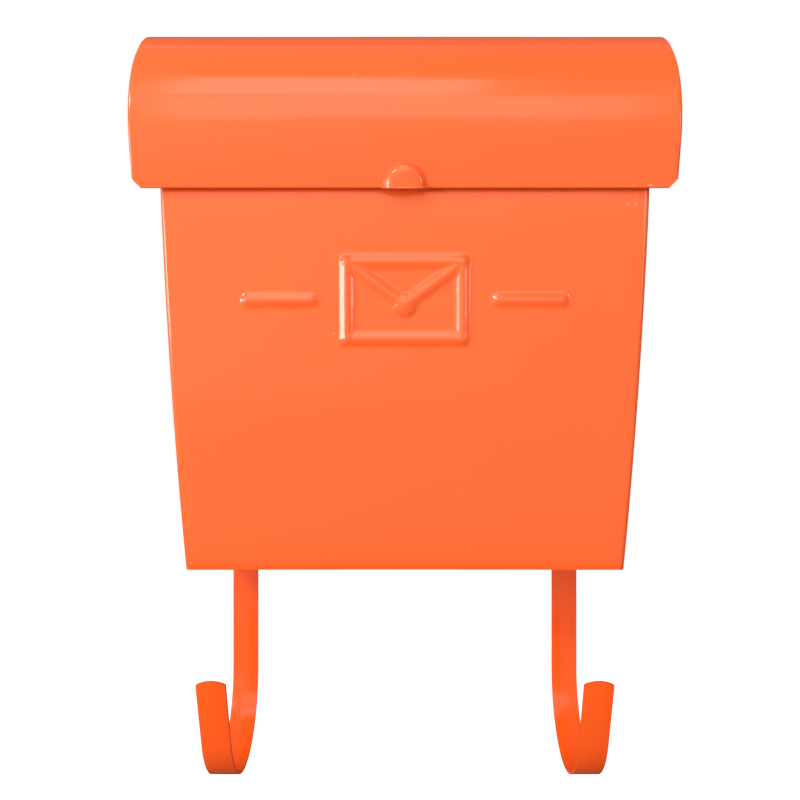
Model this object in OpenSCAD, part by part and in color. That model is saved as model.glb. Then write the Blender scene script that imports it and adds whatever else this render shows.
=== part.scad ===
// Wall mailbox of painted sheet steel: a tapered box with a pressed front, a rolled lid on
// two butt hinges, and two flat bar hooks under the box for a rolled newspaper.
// Millimetres. The wall is the plane Y = 0, the front looks along -Y, +Z is up, and the
// origin is the middle of the four wall holes.

/* [Box] */
// Width of the box along its bottom edge
base_w = 245; // [220:1:280]
// Width of the box at the height of the lid's top
top_w = 270; // [240:1:300]
// Height from the box's bottom to the top of the closed lid
box_h = 303; // [270:1:350]
// Depth of the box at its mouth
mouth_d = 105; // [90:1:130]
// Depth of the box at its bottom
base_d = 84; // [70:1:100]
// How far the front panel reaches up behind the lid's skirt
mouth_lap = 10; // [6:1:20]
// Thickness of the sheet steel
sheet_t = 1; // [0.8:0.1:1.4]
// Outside radius of the upright folds
fold_r = 3; // [2:0.5:5]
// Width of the flanges that are welded to the back
flange_w = 10; // [6:0.5:12]
// Height of the bottom plate's upturned edges
tray_h = 8; // [5:1:14]
// Height of the hem along the front panel's top edge
mouth_hem = 7; // [4:1:9]

/* [Wall holes] */
// Height of the hole pattern's middle above the box's bottom
fix_h = 160; // [130:1:180]
// Distance between the left and right holes
fix_dx = 180; // [150:1:184]
// Distance between the upper and lower holes
fix_dz = 150; // [100:1:170]
// Diameter of the wall holes
fix_d = 6; // [4:0.5:8]

/* [Lid] */
// Outside radius of the rolled front
lid_r = 59; // [50:1:66]
// Length of the straight skirt below the roll
skirt_l = 22; // [16:1:28]
// Lean of the skirt towards the box, in degrees
skirt_lean = 15; // [5:1:20]
// Gap between the skirt's hem and the front panel
skirt_gap = 3; // [2:0.5:6]
// Gap between the lid's end plates and the box's sides
end_gap = 8.5; // [8:0.5:14]
// Height of the hem folded up inside the skirt
hem_h = 6; // [4:1:8]
// Leg of the clipped lower corners of the skirt
corner_clip = 4.5; // [3:0.5:6]
// Width of the flange turned in around each end plate
end_flange = 5; // [4:0.5:6]
// Outside radius of the fold around each end plate
end_fold_r = 1.5; // [1.5:0.1:2]
// Rise of the end plates' lower edge from the skirt to the wall
end_rise = 55; // [40:1:70]

/* [Finger scoop] */
// Radius of the scoop where it leaves the skirt
scoop_r = 10.5; // [8:0.5:13]
// How far the scoop stands out from the skirt
scoop_out = 5.5; // [4:0.5:7]

/* [Pressed envelope] */
// Width of the envelope between bead centres
env_w = 62; // [50:1:76]
// Height of the envelope between bead centres
env_h = 41; // [34:1:50]
// Depth of the envelope's flap below its top edge
flap_h = 23; // [14:1:28]
// Length of the bead on each side of the envelope, between its end centres
side_bead = 34; // [20:1:36]
// Gap between the envelope and the side beads, centre to end centre
side_gap = 19; // [12:1:20]
// Height of the envelope's middle above the box's bottom
env_z = 148; // [120:1:160]
// Width of a bead on the panel
bead_w = 6.4; // [5:0.2:7.4]
// How far a bead stands out from the panel
bead_out = 1.8; // [1.2:0.1:2]
// Radius of the round seal on the flap's tip
seal_r = 5.5; // [5:0.1:7]
// How far the seal stands out from the panel
seal_out = 2.2; // [2:0.1:2.6]

/* [Hinges] */
// Distance from the side of the box's top to the middle of each hinge
hinge_in = 60; // [45:1:75]
// Length of each hinge
hinge_l = 40; // [30:1:50]
// Width of a hinge leaf from the pin's centre
leaf_w = 18; // [15:1:24]
// Thickness of a hinge leaf
leaf_t = 1.2; // [1:0.1:1.4]
// Diameter of the hinge pin
pin_d = 3; // [2.5:0.5:4]
// Radial running clearance round the hinge pin
pin_gap = 0.05; // [0.03:0.01:0.1]

/* [Hooks] */
// Width of the flat bar
bar_w = 16; // [12:1:20]
// Thickness of the flat bar
bar_t = 2; // [1.5:0.1:3]
// Inside radius of the hook's bend
hook_r = 44; // [34:1:50]
// Depth of the bend's centre below the box
hook_drop = 80; // [70:1:100]
// Lean of the hook's front leg away from the wall, in degrees
hook_lean = 20; // [0:1:30]
// Length of the straight front leg
leg_l = 42; // [20:1:56]
// Radius of the rounded tip
tip_r = 15.6; // [11:0.1:30]
// Height of the bar inside the box
bar_up = 58; // [46:1:70]
// Gap between the bar and the box's welding flange
bar_gap = 0.5; // [0.5:0.1:3]

/* [Rivets] */
// Diameter of the hooks' rivets
hook_rivet_d = 4; // [3:0.5:5]
// Distance between the two rivets of a hook
hook_rivet_dz = 26; // [18:1:30]
// Height of a hook's lower rivet above the box's bottom
hook_rivet_z = 18; // [14:1:22]
// Diameter of the hinges' rivets
leaf_rivet_d = 3; // [2.5:0.5:3.5]
// Distance between the two rivets of a leaf
leaf_rivet_dx = 24; // [16:1:26]

/* [Hidden] */
$fn = 96;
paint = [1, 0.36, 0.14];
zinc = [0.72, 0.73, 0.74];
big = 600;

// Clearances
weld_gap = 0.15;     // between sheets that are spot-welded
seat_gap = 0.4;      // between the closed lid and the gables that it rests on
hole_gap = 0.1;      // round a rivet's shank, on the radius
knuckle_gap = 0.3;   // between neighbouring knuckles, and round them
wall_gap = 0.5;      // behind the knuckles, so that the open lid clears the wall
roof_gap = 0.2;      // above the knuckles
cover = 0.01;        // by which a piece runs on into the one that it joins
overlap = 0.2;       // length of that run
seam = 0.002;        // by which a straight sheet lies inside the round one that it runs into
ball_up = 1.01;      // a bead's round ends, as a share of its own radius

// The hinge pin's place, as a depth from the wall and a height above the box's bottom
pin_r = pin_d / 2;
bore_r = pin_r + pin_gap;
knuckle_r = bore_r + leaf_t;
hinge_d = sheet_t + wall_gap + knuckle_r;
roof_z = box_h - sheet_t;
hinge_z = roof_z - roof_gap - knuckle_r;
back_top = hinge_z - 0.6;
roof_back = hinge_d + 0.25;
knuckles = 5;
hinge_x = top_w / 2 - hinge_in;

// The lid's roll and skirt
lean_c = cos(skirt_lean);
lean_s = sin(skirt_lean);
roll_d = mouth_d + skirt_gap - (lid_r - 2 * sheet_t) * lean_c + skirt_l * lean_s;
roll_z = box_h - lid_r;
skirt_z = roll_z - lid_r * lean_s - skirt_l * lean_c;
front_h = skirt_z + mouth_lap;
lid_w = top_w + 2 * (end_gap + sheet_t);
shell_w = lid_w - 2 * end_fold_r;
hem_w = lid_w - 2 * (end_flange + end_fold_r + 1);
end_r = lid_r - sheet_t - weld_gap;

// The box's gables, which stand up inside the lid
gable_r = lid_r - sheet_t - seat_gap;
gable_d = mouth_d - fold_r - sheet_t;
gable_top = roof_z - seat_gap;
gable_notch = knuckle_r + 3.4;

// The scoop's sphere, from its base radius and its height
scoop_ball = (scoop_r * scoop_r + scoop_out * scoop_out) / (2 * scoop_out);

// The bead's round section, from its width and its height
bead_r = (bead_w * bead_w / 4 + bead_out * bead_out) / (2 * bead_out);

// The seal's sphere, from its radius on the panel and its height
seal_ball = (seal_r * seal_r + seal_out * seal_out) / (2 * seal_out);

// The hooks' place
hook_x = base_w / 2 - flange_w - bar_gap - bar_w / 2;
bend_d = sheet_t + bar_t + hook_r;

// Half the box's width at height z
function half_w(z) = (base_w + (top_w - base_w) * z / box_h) / 2;

// The sides lean out by this angle
side_lean = atan((top_w - base_w) / (2 * box_h));

// The front is upright for a short way below the mouth, and bows back from there down
bow_top = front_h - mouth_hem - 6;
bow_drop = mouth_d - base_d;
bow_r = round(100 * (bow_top * bow_top + bow_drop * bow_drop) / (2 * bow_drop)) / 100;

// How far a point of the front's middle, at height z, lies below the bow's start
function below_bow(z) =
    bow_top / cos(side_lean) - z * cos(side_lean) + base_w / 2 * sin(side_lean);

// Depth and slope of the front panel's middle at height z of the bow
function front_d(z) = mouth_d - bow_r + sqrt(bow_r * bow_r - pow(below_bow(z), 2));
function front_slope(z) = below_bow(z) / bow_r;

// Everything below is drawn with depth from the wall as X, height as Y and the box's width
// as Z, and this turns it into the frame of the part.
module in_frame() {
    translate([0, 0, -fix_h]) rotate([90, 0, -90]) children();
}

// Section of a space set in from the box's outline: all that is left of and below its
// corner, with the corner rounded to follow the fold
module inside_corner(inset) {
    r = max(fold_r - inset, 0.3);
    translate([-inset - r, -inset - r]) circle(r);
    translate([-inset - big, -inset - r - big]) square(big);
    translate([-inset - r - big, -inset - big]) square(big);
}

// A side's own axes: the origin at the box's bottom edge, Y up along the side, Z out of it
module in_side() {
    translate([0, 0, base_w / 2]) rotate([side_lean, 0, 0]) children();
}

// Extrudes a section of depth and width up along a side
module up_side(from) {
    translate([0, from, 0]) rotate([-90, 0, 0]) linear_extrude(big) mirror([0, 1]) children();
}

// Half of the space inside the box's outline, set in by inset
module half_room(inset) {
    bow_y = bow_top / cos(side_lean);
    sweep = 25;
    intersection() {
        in_side() {
            up_side(bow_y) translate([mouth_d, 0]) inside_corner(inset);
            translate([mouth_d - bow_r, bow_y, 0])
                rotate_extrude(angle = -sweep, $fn = 720)
                translate([bow_r, 0]) inside_corner(inset);
        }
        in_side() up_side(-big / 3) translate([sheet_t, 0]) mirror([1, 0]) inside_corner(inset);
        translate([0, -big / 4, 0]) cube(big);
    }
}

module room(inset) {
    half_room(inset);
    mirror([0, 0, 1]) half_room(inset);
}

// The outline that the folded sheet is cut to, seen from the side
module side_cut() {
    square([big, front_h]);
    difference() {
        intersection() {
            square([gable_d, gable_top]);
            union() {
                square([roll_d, gable_top]);
                square([big, roll_z]);
                translate([roll_d, roll_z]) circle(gable_r);
            }
        }
        // Room behind the gables for the lid's back edge as it swings
        polygon([
            [-1, hinge_z - gable_notch],
            [sheet_t, hinge_z - gable_notch],
            [hinge_d + gable_notch, gable_top],
            [hinge_d + gable_notch, big],
            [-1, big]
        ]);
    }
}

// A straight bead from point a to point b, as a rod with a ball at its start
module bead_line(a, b, r) {
    d = b - a;
    translate([a[0], a[1], 0]) {
        rotate([0, 0, atan2(d[1], d[0])]) rotate([0, 90, 0]) cylinder(r = r, h = norm(d));
        sphere(r * ball_up);
    }
}

// The pressed design, with the panel's outer face at Z = 0, set in by inset
module beads(inset) {
    r = bead_r - inset;
    x = env_w / 2;
    y = env_h / 2;
    tip = [0, y - flap_h];
    corners = [[-x, -y], [x, -y], [x, y], [-x, y]];
    translate([0, 0, bead_out - bead_r]) {
        for (i = [0 : 3]) bead_line(corners[i], corners[(i + 1) % 4], r);
        for (i = [2, 3]) bead_line(corners[i], tip, r);
        for (s = [-1, 1]) {
            a = [s * (x + side_gap), 0];
            b = [s * (x + side_gap + side_bead), 0];
            bead_line(a, b, r);
            translate(b) sphere(r * ball_up);
        }
    }
    translate([tip[0], tip[1], seal_out - seal_ball]) sphere(seal_ball - inset);
}

// Puts the pressed design on the front panel
module on_front() {
    translate([front_d(env_z), env_z, 0])
        rotate([0, 0, -atan(front_slope(env_z))]) rotate([0, 90, 0]) children();
}

// Back panel: flat on the wall, as wide as the box
module back_panel() {
    color(paint) in_frame() difference() {
        rotate([0, 90, 0]) linear_extrude(sheet_t)
            polygon([for (s = [1, -1]) for (z = (s > 0 ? [0, back_top] : [back_top, 0]))
                [-s * half_w(z), z]]);
        for (x = [-1, 1]) for (z = [-1, 1])
            translate([-1, fix_h + z * fix_dz / 2, x * fix_dx / 2])
                rotate([0, 90, 0]) cylinder(d = fix_d, h = sheet_t + 2);
        hook_rivet_places() cylinder(r = hook_rivet_d / 2 + hole_gap, h = big, center = true);
        fixed_rivet_places() cylinder(r = leaf_rivet_d / 2 + hole_gap, h = big, center = true);
    }
}

// Front and sides folded from one sheet, with flanges at the back and a hem at the mouth
module body_wrap() {
    color(paint) in_frame() {
        difference() {
            intersection() {
                union() {
                    room(0);
                    on_front() beads(0);
                }
                linear_extrude(big, center = true) side_cut();
            }
            room(sheet_t);
            on_front() beads(sheet_t);
            // The gap between the back flanges
            rotate([0, 90, 0]) linear_extrude(mouth_d / 3)
                polygon([for (s = [1, -1]) for (z = (s > 0 ? [-1, box_h] : [box_h, -1]))
                    [-s * (half_w(z) - flange_w), z]]);
        }
        mouth_hem_fold();
    }
}

// The front panel's top edge, folded down inside
module mouth_hem_fold() {
    w = 2 * (half_w(front_h - mouth_hem) - fold_r - sheet_t);
    d = mouth_d - 2 * sheet_t;
    linear_extrude(w, center = true) {
        translate([d, front_h - mouth_hem]) square([sheet_t + 0.1, mouth_hem]);
        translate([d + sheet_t, front_h]) difference() {
            circle(sheet_t);
            translate([-sheet_t - 1, -2 * sheet_t]) square([2 * sheet_t + 2, 2 * sheet_t]);
        }
    }
}

// Bottom plate: a tray inside the wrap, open at the back and notched there for the bars
module bottom_panel() {
    out = sheet_t + weld_gap;
    lip = out + sheet_t;
    tongue_w = 2 * (hook_x - bar_w / 2 - bar_gap);
    color(paint) in_frame() {
        difference() {
            intersection() {
                room(out);
                translate([0, 0, -big / 2]) cube([big, tray_h, big]);
            }
            intersection() {
                room(lip);
                translate([0, sheet_t, -big / 2]) cube(big);
            }
            // No lip along the back
            translate([0, sheet_t, -big / 2]) cube([2 * fold_r, big, big]);
            // Notches for the hooks' bars
            for (s = [-1, 1])
                translate([0, -1, s * hook_x - bar_w / 2 - bar_gap])
                    cube([sheet_t + bar_t + bar_gap, sheet_t + 2, bar_w + 2 * bar_gap]);
        }
        translate([sheet_t, 0, -tongue_w / 2]) cube([out + 1, sheet_t, tongue_w]);
    }
}

// Rolled lid with a hemmed skirt, clipped corners and a pressed scoop
module lid_shell() {
    color(paint) in_frame() difference() {
        union() {
            difference() {
                union() {
                    linear_extrude(shell_w, center = true) lid_sheet();
                    linear_extrude(hem_w, center = true) lid_hem();
                }
                in_skirt() scoop_well();
            }
            in_skirt() scoop_dome();
        }
        in_skirt() skirt_corners();
        lid_rivet_places() cylinder(r = leaf_rivet_d / 2 + hole_gap, h = big, center = true);
    }
}

// The rolled sheet, seen from the side
module lid_sheet() {
    translate([roof_back, roof_z]) square([roll_d - roof_back, sheet_t]);
    translate([roll_d, roll_z]) {
        intersection() {
            difference() {
                circle(lid_r, $fn = 180);
                circle(lid_r - sheet_t, $fn = 180);
            }
            polygon([
                [0, 0], [0, big], [big, big],
                [big, -big * tan(skirt_lean)]
            ]);
        }
        rotate(-skirt_lean)
            translate([lid_r - sheet_t - seam, -skirt_l]) square([sheet_t, skirt_l + overlap]);
    }
}

// The hem inside the skirt, with its round fold at the lower edge
module lid_hem() {
    translate([roll_d, roll_z]) rotate(-skirt_lean) {
        translate([lid_r - 2 * sheet_t, -skirt_l]) square([sheet_t, hem_h]);
        translate([lid_r - sheet_t, -skirt_l]) intersection() {
            circle(sheet_t);
            translate([-sheet_t, -sheet_t]) square([2 * sheet_t, sheet_t]);
        }
    }
}

// The skirt's own axes: X out of the skirt, Y up along it from the roll, Z across the lid
module in_skirt() {
    translate([roll_d, roll_z, 0]) rotate([0, 0, -skirt_lean]) children();
}

module scoop_ball_at() {
    translate([lid_r + scoop_out - scoop_ball, -skirt_l, 0]) children();
}

// What the scoop takes out of the skirt and its hem
module scoop_well() {
    scoop_ball_at() sphere(scoop_ball - sheet_t);
    translate([lid_r - 2 * sheet_t - 1, -skirt_l - 2 * sheet_t, -scoop_r - 1])
        cube([sheet_t + 1, hem_h + 3 * sheet_t, 2 * scoop_r + 2]);
    translate([0, -skirt_l - 2 * sheet_t, -scoop_r - 1])
        cube([big, 2 * sheet_t, 2 * scoop_r + 2]);
}

module scoop_dome() {
    intersection() {
        scoop_ball_at() difference() {
            sphere(scoop_ball);
            sphere(scoop_ball - sheet_t);
        }
        translate([lid_r - sheet_t / 2, -skirt_l, -big / 2]) cube([big, big, big]);
    }
}

// The clipped lower corners
module skirt_corners() {
    for (s = [-1, 1])
        translate([lid_r / 2, -skirt_l - 2 * sheet_t, s * lid_w / 2])
            rotate([0, 90, 0]) rotate([0, 0, 45])
            cube([2 * clip_side(), 2 * clip_side(), 2 * lid_r], center = true);
}
function clip_side() = (corner_clip + 2 * sheet_t + end_fold_r) / sqrt(2);

// The flat of an end plate, inside the fold at its rim, down to a line that rises from the
// skirt to the wall
module end_outline() {
    flat_r = end_r - end_fold_r;
    low_d = roll_d + end_r * lean_c - (skirt_l - corner_clip) * lean_s;
    low_z = skirt_z + corner_clip * lean_c;
    intersection() {
        union() {
            translate([roof_back, roll_z - lid_r])
                square([roll_d - roof_back, lid_r + flat_r]);
            translate([roll_d, roll_z]) {
                circle(flat_r, $fn = 180);
                // The plain edge behind the skirt
                rotate(-skirt_lean) translate([0, -skirt_l])
                    square([end_r - weld_gap, skirt_l + overlap]);
            }
        }
        polygon([
            [roof_back, low_z + end_rise], [low_d, low_z], [big, low_z],
            [big, big], [roof_back, big]
        ]);
    }
}

// Section of the flange and its fold, as distance from the roll's centre and width
module rim_section() {
    w = lid_w / 2;
    translate([end_r - sheet_t, w - end_fold_r - end_flange]) square([sheet_t, end_flange]);
    translate([end_r - end_fold_r, w - end_fold_r]) intersection() {
        difference() {
            circle(end_fold_r);
            circle(end_fold_r - sheet_t);
        }
        square(2 * end_fold_r);
    }
}

// End plate with a flange turned in along the roof and the roll, on the +Z side
module lid_end() {
    translate([0, 0, lid_w / 2 - sheet_t]) linear_extrude(sheet_t) end_outline();
    translate([roll_d, roll_z, 0]) {
        rotate_extrude(angle = 90, $fn = 180) rim_section();
        rotate_extrude(angle = -skirt_lean, $fn = 180) rim_section();
        translate([roof_back - roll_d, 0, 0])
            rotate([90, 0, 90]) linear_extrude(roll_d - roof_back) rim_section();
    }
}

module lid_end_left() {
    color(paint) in_frame() lid_end();
}

module lid_end_right() {
    color(paint) in_frame() mirror([0, 0, 1]) lid_end();
}

// One knuckle's place along a hinge, as its start and its length
function knuckle_at(i) = -hinge_l / 2 + i * hinge_l / knuckles + knuckle_gap / 2;
knuckle_l = hinge_l / knuckles - knuckle_gap;

// Leaf with its own knuckles, drawn with the pin at the origin, the plate down along -Y
// and its outer face at X = -face
module leaf(first, face) {
    difference() {
        union() {
            translate([-face, -leaf_w, -hinge_l / 2])
                cube([leaf_t, leaf_w - knuckle_r - knuckle_gap, hinge_l]);
            for (i = [first : 2 : knuckles - 1])
                translate([0, 0, knuckle_at(i)]) linear_extrude(knuckle_l) {
                    circle(knuckle_r);
                    translate([-face, -knuckle_r - knuckle_gap])
                        square([leaf_t, knuckle_r + knuckle_gap]);
                }
        }
        translate([0, 0, -hinge_l]) cylinder(r = bore_r, h = 2 * hinge_l);
    }
}

module hinge_fixed_leaf(x) {
    color(zinc) in_frame() difference() {
        translate([hinge_d, hinge_z, -x]) leaf(0, knuckle_r + wall_gap);
        fixed_rivet_places() cylinder(r = leaf_rivet_d / 2 + hole_gap, h = big, center = true);
    }
}

module hinge_lid_leaf(x) {
    color(zinc) in_frame() difference() {
        translate([hinge_d, hinge_z, -x])
            rotate([0, 0, -90]) rotate([180, 0, 0]) leaf(1, knuckle_r + roof_gap);
        lid_rivet_places() cylinder(r = leaf_rivet_d / 2 + hole_gap, h = big, center = true);
    }
}

// Pin with its ends peened over the outer knuckles
module hinge_pin(x) {
    head_r = knuckle_r - 0.4;
    head_l = 1;
    color(zinc) in_frame() translate([hinge_d, hinge_z, -x]) {
        cylinder(r = pin_r, h = hinge_l, center = true);
        for (s = [-1, 1])
            translate([0, 0, s * (hinge_l / 2 + head_l / 2 - cover)])
                cylinder(r = head_r, h = head_l, center = true);
    }
}

// Rivet along +Z: flush at Z = 0, its domed head past the grip
module rivet(d, grip) {
    head_r = d;
    head_h = 0.45 * d;
    ball = (head_r * head_r + head_h * head_h) / (2 * head_h);
    cylinder(d = d, h = grip);
    translate([0, 0, grip]) intersection() {
        translate([0, 0, head_h - ball]) sphere(ball);
        cylinder(r = head_r, h = head_h + 1);
    }
}

// Places of the rivets, with Z from the flush end to the head
module hook_rivet_places() {
    for (s = [-1, 1]) for (i = [0, 1])
        translate([0, hook_rivet_z + i * hook_rivet_dz, s * hook_x])
            rotate([0, 90, 0]) children();
}

leaf_rivet_at = (leaf_w + knuckle_r) / 2;

module fixed_rivet_places() {
    for (s = [-1, 1]) for (i = [-1, 1])
        translate([0, hinge_z - leaf_rivet_at, s * hinge_x + i * leaf_rivet_dx / 2])
            rotate([0, 90, 0]) children();
}

module lid_rivet_places() {
    for (s = [-1, 1]) for (i = [-1, 1])
        translate([hinge_d + leaf_rivet_at, box_h, s * hinge_x + i * leaf_rivet_dx / 2])
            rotate([90, 0, 0]) children();
}

module hinge_fixed_rivets() {
    color(zinc) in_frame() fixed_rivet_places() rivet(leaf_rivet_d, sheet_t + leaf_t);
}

module hinge_lid_rivets() {
    color(zinc) in_frame() lid_rivet_places() rivet(leaf_rivet_d, sheet_t + leaf_t);
}

module hook_rivets() {
    color(zinc) in_frame() hook_rivet_places() rivet(hook_rivet_d, sheet_t + bar_t);
}

// Side view of the front leg's face: straight edges and a rounded tip
module leg_outline() {
    sag = tip_r - sqrt(tip_r * tip_r - bar_w * bar_w / 4);
    translate([-bar_w / 2, -cover]) square([bar_w, leg_l - sag + cover]);
    intersection() {
        translate([-bar_w / 2, leg_l - sag]) square([bar_w, sag]);
        translate([0, leg_l - tip_r]) circle(tip_r);
    }
}

// Hook: flat bar down from inside the box, round a bend and up a leaning front leg
module hook(x) {
    color(paint) in_frame() difference() {
        translate([0, 0, -x]) {
            translate([sheet_t, -hook_drop, -bar_w / 2])
                cube([bar_t, hook_drop + bar_up, bar_w]);
            translate([bend_d, -hook_drop, 0]) {
                rotate([0, 0, 180])
                    rotate_extrude(angle = 180 - hook_lean, $fn = 180)
                    translate([hook_r, -bar_w / 2]) square([bar_t, bar_w]);
                rotate([0, 0, -hook_lean]) translate([hook_r + bar_t, 0, 0])
                    rotate([0, -90, 0]) linear_extrude(bar_t) leg_outline();
            }
        }
        hook_rivet_places() cylinder(r = hook_rivet_d / 2 + hole_gap, h = big, center = true);
    }
}

back_panel();
body_wrap();
bottom_panel();
lid_shell();
lid_end_left();
lid_end_right();
hinge_fixed_leaf(-hinge_x);  // hinge_left_fixed_leaf
hinge_lid_leaf(-hinge_x);  // hinge_left_lid_leaf
hinge_pin(-hinge_x);  // hinge_left_pin
hinge_fixed_leaf(hinge_x);  // hinge_right_fixed_leaf
hinge_lid_leaf(hinge_x);  // hinge_right_lid_leaf
hinge_pin(hinge_x);  // hinge_right_pin
hinge_fixed_rivets();
hinge_lid_rivets();
hook(-hook_x);  // hook_left
hook(hook_x);  // hook_right
hook_rivets();
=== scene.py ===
# %% [markdown]
# # A wall mailbox in orange powder coat
# The mailbox is made of thin steel sheet: a folded box with a bowed front, a rolled lid that
# swings on two hinges, and two flat bar hooks below for a newspaper. The CAD model comes in
# as a fixed frame. The sheets and hooks that show get finer pieces here, with soft folds and
# pressed forms. The back, the bottom, the hinges and the rivets stay as the CAD has them.

# %% Load the frame
import math

import bmesh
import bpy
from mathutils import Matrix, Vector


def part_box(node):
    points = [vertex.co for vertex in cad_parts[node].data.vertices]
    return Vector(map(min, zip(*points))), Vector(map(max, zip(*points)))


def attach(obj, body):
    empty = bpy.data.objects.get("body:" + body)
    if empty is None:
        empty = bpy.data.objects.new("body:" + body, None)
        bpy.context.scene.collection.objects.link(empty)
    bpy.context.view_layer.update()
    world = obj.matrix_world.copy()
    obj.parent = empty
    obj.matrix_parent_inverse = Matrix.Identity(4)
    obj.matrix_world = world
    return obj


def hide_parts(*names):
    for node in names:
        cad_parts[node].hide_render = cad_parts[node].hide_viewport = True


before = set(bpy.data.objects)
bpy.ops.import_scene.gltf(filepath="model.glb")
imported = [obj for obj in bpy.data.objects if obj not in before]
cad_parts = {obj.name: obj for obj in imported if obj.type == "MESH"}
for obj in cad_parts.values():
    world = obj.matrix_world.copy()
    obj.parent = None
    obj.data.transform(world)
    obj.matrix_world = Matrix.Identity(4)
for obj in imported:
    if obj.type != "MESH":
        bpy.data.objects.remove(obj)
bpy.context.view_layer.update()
mm = 0.001


print("nodes:", sorted(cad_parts))

# %% [markdown]
# ## The shared measures
# Every piece below is cut to the same few sizes, so they are named once. Heights are
# counted from the box's bottom edge and depths from the wall, as on a workshop drawing.
# One small function turns such a measure into a place in the scene. The sheet is modelled a
# hair thinner than it is, so that two layers that lie on each other don't share a plane.

# %% Measures of the sheets
sheet_t = 1.0 * mm
skin_t = 0.97 * sheet_t
fold_r = 3.0 * mm
base_w, top_w, box_h = 245 * mm, 270 * mm, 303 * mm
mouth_d, base_d = 105 * mm, 84 * mm
flange_w = 10 * mm
hem_depth = 7 * mm
lid_r, skirt_l, skirt_gap, mouth_lap = 59 * mm, 22 * mm, 3 * mm, 10 * mm
skirt_lean = math.radians(15)
bottom_z = -160 * mm

roll_d = mouth_d + skirt_gap - (lid_r - 2 * sheet_t) * math.cos(skirt_lean)
roll_d += skirt_l * math.sin(skirt_lean)
roll_h = box_h - lid_r
skirt_h = roll_h - lid_r * math.sin(skirt_lean) - skirt_l * math.cos(skirt_lean)
front_h = skirt_h + mouth_lap


def place(x, depth, height):
    """The scene's point for a distance from the middle, a depth and a height."""
    return Vector((x, -depth, height + bottom_z))


print("front panel height:", round(front_h / mm, 2), "mm, roll centre at",
      round(roll_d / mm, 2), "mm from the wall")

# %% [markdown]
# ## Helpers for a clean start
# An operator acts on everything that is selected, and the CAD nodes come in selected. So
# each piece starts with nothing selected, and ends with its modifiers applied, its object
# at the origin and its place in its mesh.

# %% Helpers for selecting
smooth_below = math.radians(35)


def deselect_all():
    if bpy.context.mode != "OBJECT":
        bpy.ops.object.mode_set(mode="OBJECT")
    bpy.ops.object.select_all(action="DESELECT")


def only(piece):
    """Selects this piece alone and makes it the active one."""
    deselect_all()
    piece.select_set(True)
    bpy.context.view_layer.objects.active = piece


def edit(piece):
    """Opens edit mode on the piece with nothing selected."""
    only(piece)
    bpy.ops.object.mode_set(mode="EDIT")
    bpy.ops.mesh.select_all(action="DESELECT")


def select_edges(piece, wanted):
    """In edit mode, selects the edges whose two ends both pass the test."""
    bpy.ops.mesh.select_mode(type="EDGE")
    bm = bmesh.from_edit_mesh(piece.data)
    count = 0
    for edge in bm.edges:
        hit = all(wanted(v.co) for v in edge.verts)
        edge.select = hit
        count += hit
    bm.select_flush_mode()
    bmesh.update_edit_mesh(piece.data)
    return count


print("ready to select")

# %% [markdown]
# ## Helpers that finish a piece
# A sheet is modelled as one thin surface, and a modifier gives it its thickness at the end,
# so that it is the same everywhere. A narrow bevel then breaks the cut edges. It catches
# the light as a real edge does, where a perfectly sharp one would look drawn.


# %% Helpers that finish a piece
def apply_all(piece):
    """Applies the place and every modifier, so that the mesh holds the whole shape."""
    only(piece)
    bpy.ops.object.transform_apply(location=True, rotation=True, scale=True)
    for modifier in list(piece.modifiers):
        bpy.ops.object.modifier_apply(modifier=modifier.name)


def soften(piece, width, segments, degrees):
    """Bevels the edges at which two faces meet at more than this angle."""
    soft = piece.modifiers.new("edges", "BEVEL")
    soft.width = width
    soft.segments = segments
    soft.limit_method = "ANGLE"
    soft.angle_limit = math.radians(degrees)
    soft.use_clamp_overlap = True


def thicken(piece, edge_width):
    """Gives a sheet its thickness on the inner side, and softens its cut edges."""
    solid = piece.modifiers.new("thickness", "SOLIDIFY")
    solid.thickness = skin_t
    solid.offset = -1
    solid.use_even_offset = True
    soften(piece, edge_width, segments=2, degrees=50)
    apply_all(piece)


def smooth(piece):
    """Shades the piece smooth, apart from its sharp edges."""
    only(piece)
    bpy.ops.object.shade_smooth_by_angle(angle=smooth_below)


def facts(piece):
    faces = sum(len(p.vertices) - 2 for p in piece.data.polygons)
    print(piece.name, "has", faces, "triangles")


print("sheets are modelled", round(skin_t / mm, 2), "mm thick")

# %% [markdown]
# ## A flat blank, ready to fold
# The real box starts as a flat blank that is pressed and then folded. The piece here is
# made the same way. A grid is the blank, and each of its lines is carried to its place in
# the folded sheet. A box with bevelled edges would be quicker, but it can't hold both the
# bowed front and the soft pressed lines, which need a fine even grid under them.


# %% Blank helpers
def steps(start, end, count):
    """Evenly spaced values from start to end, both included."""
    return [start + (end - start) * i / count for i in range(count + 1)]


def blank(name, across, up):
    """A flat grid, one unit wide and high, with this many lines each way."""
    deselect_all()
    bpy.ops.mesh.primitive_grid_add(
        x_subdivisions=across - 1, y_subdivisions=up - 1, size=1, enter_editmode=False)
    piece = bpy.context.object
    piece.name = piece.data.name = name
    return piece


def carry(piece, across, up, where):
    """Moves every crossing of lines (column i, row j) to the point where(i, j)."""
    for vertex in piece.data.vertices:
        i = round((vertex.co.x + 0.5) * (across - 1))
        j = round((vertex.co.y + 0.5) * (up - 1))
        vertex.co = where(i, j)
    piece.data.update()


print("a run of steps:", steps(0, 1, 4))

# %% [markdown]
# ## The box's outline
# Seen from the front the box widens upwards. Seen from the side its front is upright at
# the mouth and bows back towards the bottom, in one large arc. Two functions hold these
# curves, and the wrap below follows them. The arc is drawn square to the leaning sides, and
# the crown rounds it off in the middle, where its two halves would meet in a faint ridge.

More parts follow.
